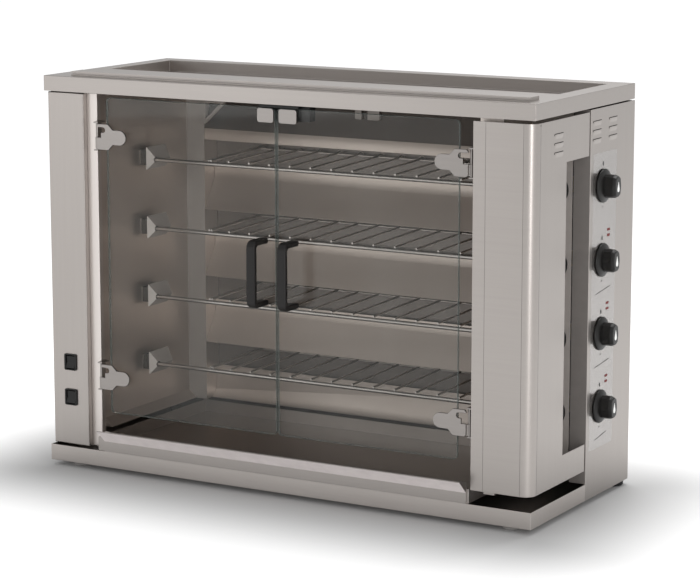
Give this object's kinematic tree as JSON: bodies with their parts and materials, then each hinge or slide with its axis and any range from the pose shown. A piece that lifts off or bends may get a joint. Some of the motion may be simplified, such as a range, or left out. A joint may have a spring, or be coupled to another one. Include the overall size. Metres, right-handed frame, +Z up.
{
  "type": "rotisserie oven",
  "caption": "Countertop stainless gas rotisserie oven with stacked horizontal spits, glass doors, side knobs and a pull-out drip tray.",
  "frame": {"origin": "middle of the bounding box on the surface that the feet stand on", "axes": "+X to the right seen from the front, -Y is the front with the glass doors, +Z up"},
  "size_m": [1.0296, 0.446, 0.742],
  "materials": {
    "brushed_steel": "warm grey brushed stainless sheet",
    "bright_steel": "semi-polished stainless sheet and wire",
    "dark_steel": "dark oiled steel",
    "black_plastic": "black heat-resistant plastic",
    "rubber": "black rubber",
    "brass": "turned brass",
    "glass": "clear tempered glass with green edges"
  },
  "bodies": {
    "root": {"base_tray": "brushed_steel", "burner_1": "dark_steel", "burner_2": "dark_steel", "burner_3": "dark_steel", "burner_4": "dark_steel", "chamber_lamp": "dark_steel", "control_column": "brushed_steel", "deflector_1": "bright_steel", "deflector_2": "bright_steel", "deflector_3": "bright_steel", "deflector_4": "bright_steel", "drive_chain": "dark_steel", "foot_front_left": "rubber", "foot_front_right": "rubber", "foot_rear_left": "rubber", "foot_rear_right": "rubber", "gas_manifold": "brass", "gear_motor": "dark_steel", "hinge_bracket_left_lower": "bright_steel", "hinge_bracket_left_upper": "bright_steel", "hinge_bracket_right_lower": "bright_steel", "hinge_bracket_right_upper": "bright_steel", "left_column_cover": "brushed_steel", "left_jamb": "brushed_steel", "left_wall": "bright_steel", "magnet_catch": "black_plastic", "rear_panel": "brushed_steel", "right_wall": "bright_steel", "top_band": "bright_steel", "top_cap": "brushed_steel", "wire_rack_1": "bright_steel", "wire_rack_2": "bright_steel", "wire_rack_3": "bright_steel", "wire_rack_4": "bright_steel"},
    "door_left": {"glass_door_left": "glass", "hinge_plate_left_upper": "bright_steel", "hinge_plate_left_lower": "bright_steel", "handle_left": "black_plastic", "catch_plate_left": "bright_steel"},
    "door_right": {"glass_door_right": "glass", "hinge_plate_right_upper": "bright_steel", "hinge_plate_right_lower": "bright_steel", "handle_right": "black_plastic", "catch_plate_right": "bright_steel"},
    "spit_cover": {"spit_cover": "brushed_steel"},
    "drip_tray": {"drip_tray": "brushed_steel"},
    "knob_1": {"knob_1": "black_plastic"},
    "knob_2": {"knob_2": "black_plastic"},
    "knob_3": {"knob_3": "black_plastic"},
    "knob_4": {"knob_4": "black_plastic"},
    "rocker_1": {"rocker_1": "black_plastic"},
    "rocker_2": {"rocker_2": "black_plastic"},
    "spit_1": {"spit_1": "bright_steel", "drive_sprocket_1": "dark_steel"},
    "spit_2": {"spit_2": "bright_steel", "drive_sprocket_2": "dark_steel"},
    "spit_3": {"spit_3": "bright_steel", "drive_sprocket_3": "dark_steel"},
    "spit_4": {"spit_4": "bright_steel", "drive_sprocket_4": "dark_steel"}
  },
  "joints": [
    {"name": "left_door_hinge", "type": "hinge", "parent": "root", "child": "door_left", "pos_m": [-0.40475, -0.171, 0.41], "axis": [0, 0, -1], "range_deg": [0, 90]},
    {"name": "right_door_hinge", "type": "hinge", "parent": "root", "child": "door_right", "pos_m": [0.36125, -0.171, 0.41], "axis": [0, 0, 1], "range_deg": [0, 90]},
    {"name": "spit_cover_hinge", "type": "hinge", "parent": "root", "child": "spit_cover", "pos_m": [0.4835, 0.033, 0.38], "axis": [0, 0, 1], "range_deg": [0, 100]},
    {"name": "drip_tray_slide", "type": "slide", "parent": "root", "child": "drip_tray", "axis": [0, -1, 0], "range_m": [0, 0.33]},
    {"name": "knob_1_turn", "type": "hinge", "parent": "root", "child": "knob_1", "pos_m": [0.48605, 0.091, 0.566], "axis": [1, 0, 0], "range_deg": [0, 180]},
    {"name": "knob_2_turn", "type": "hinge", "parent": "root", "child": "knob_2", "pos_m": [0.48605, 0.091, 0.4345], "axis": [1, 0, 0], "range_deg": [0, 180]},
    {"name": "knob_3_turn", "type": "hinge", "parent": "root", "child": "knob_3", "pos_m": [0.48605, 0.091, 0.303], "axis": [1, 0, 0], "range_deg": [0, 180]},
    {"name": "knob_4_turn", "type": "hinge", "parent": "root", "child": "knob_4", "pos_m": [0.48605, 0.091, 0.1715], "axis": [1, 0, 0], "range_deg": [0, 180]},
    {"name": "rocker_1_tilt", "type": "hinge", "parent": "root", "child": "rocker_1", "pos_m": [-0.47135, -0.17, 0.199], "axis": [1, 0, 0], "range_deg": [0, 14]},
    {"name": "rocker_2_tilt", "type": "hinge", "parent": "root", "child": "rocker_2", "pos_m": [-0.47135, -0.17, 0.1324], "axis": [1, 0, 0], "range_deg": [0, 14]},
    {"name": "spit_1_spin", "type": "hinge", "parent": "root", "child": "spit_1", "pos_m": [-0.01475, 0.017, 0.5625], "axis": [1, 0, 0], "continuous": true},
    {"name": "spit_2_spin", "type": "hinge", "parent": "root", "child": "spit_2", "pos_m": [-0.01475, 0.017, 0.431], "axis": [1, 0, 0], "continuous": true},
    {"name": "spit_3_spin", "type": "hinge", "parent": "root", "child": "spit_3", "pos_m": [-0.01475, 0.017, 0.2995], "axis": [1, 0, 0], "continuous": true},
    {"name": "spit_4_spin", "type": "hinge", "parent": "root", "child": "spit_4", "pos_m": [-0.01475, 0.017, 0.168], "axis": [1, 0, 0], "continuous": true}
  ],
  "couplings": [
    {"joint": "spit_1_spin", "follows": "spit_4_spin", "ratio": 1},
    {"joint": "spit_2_spin", "follows": "spit_4_spin", "ratio": 1},
    {"joint": "spit_3_spin", "follows": "spit_4_spin", "ratio": 1}
  ]
}
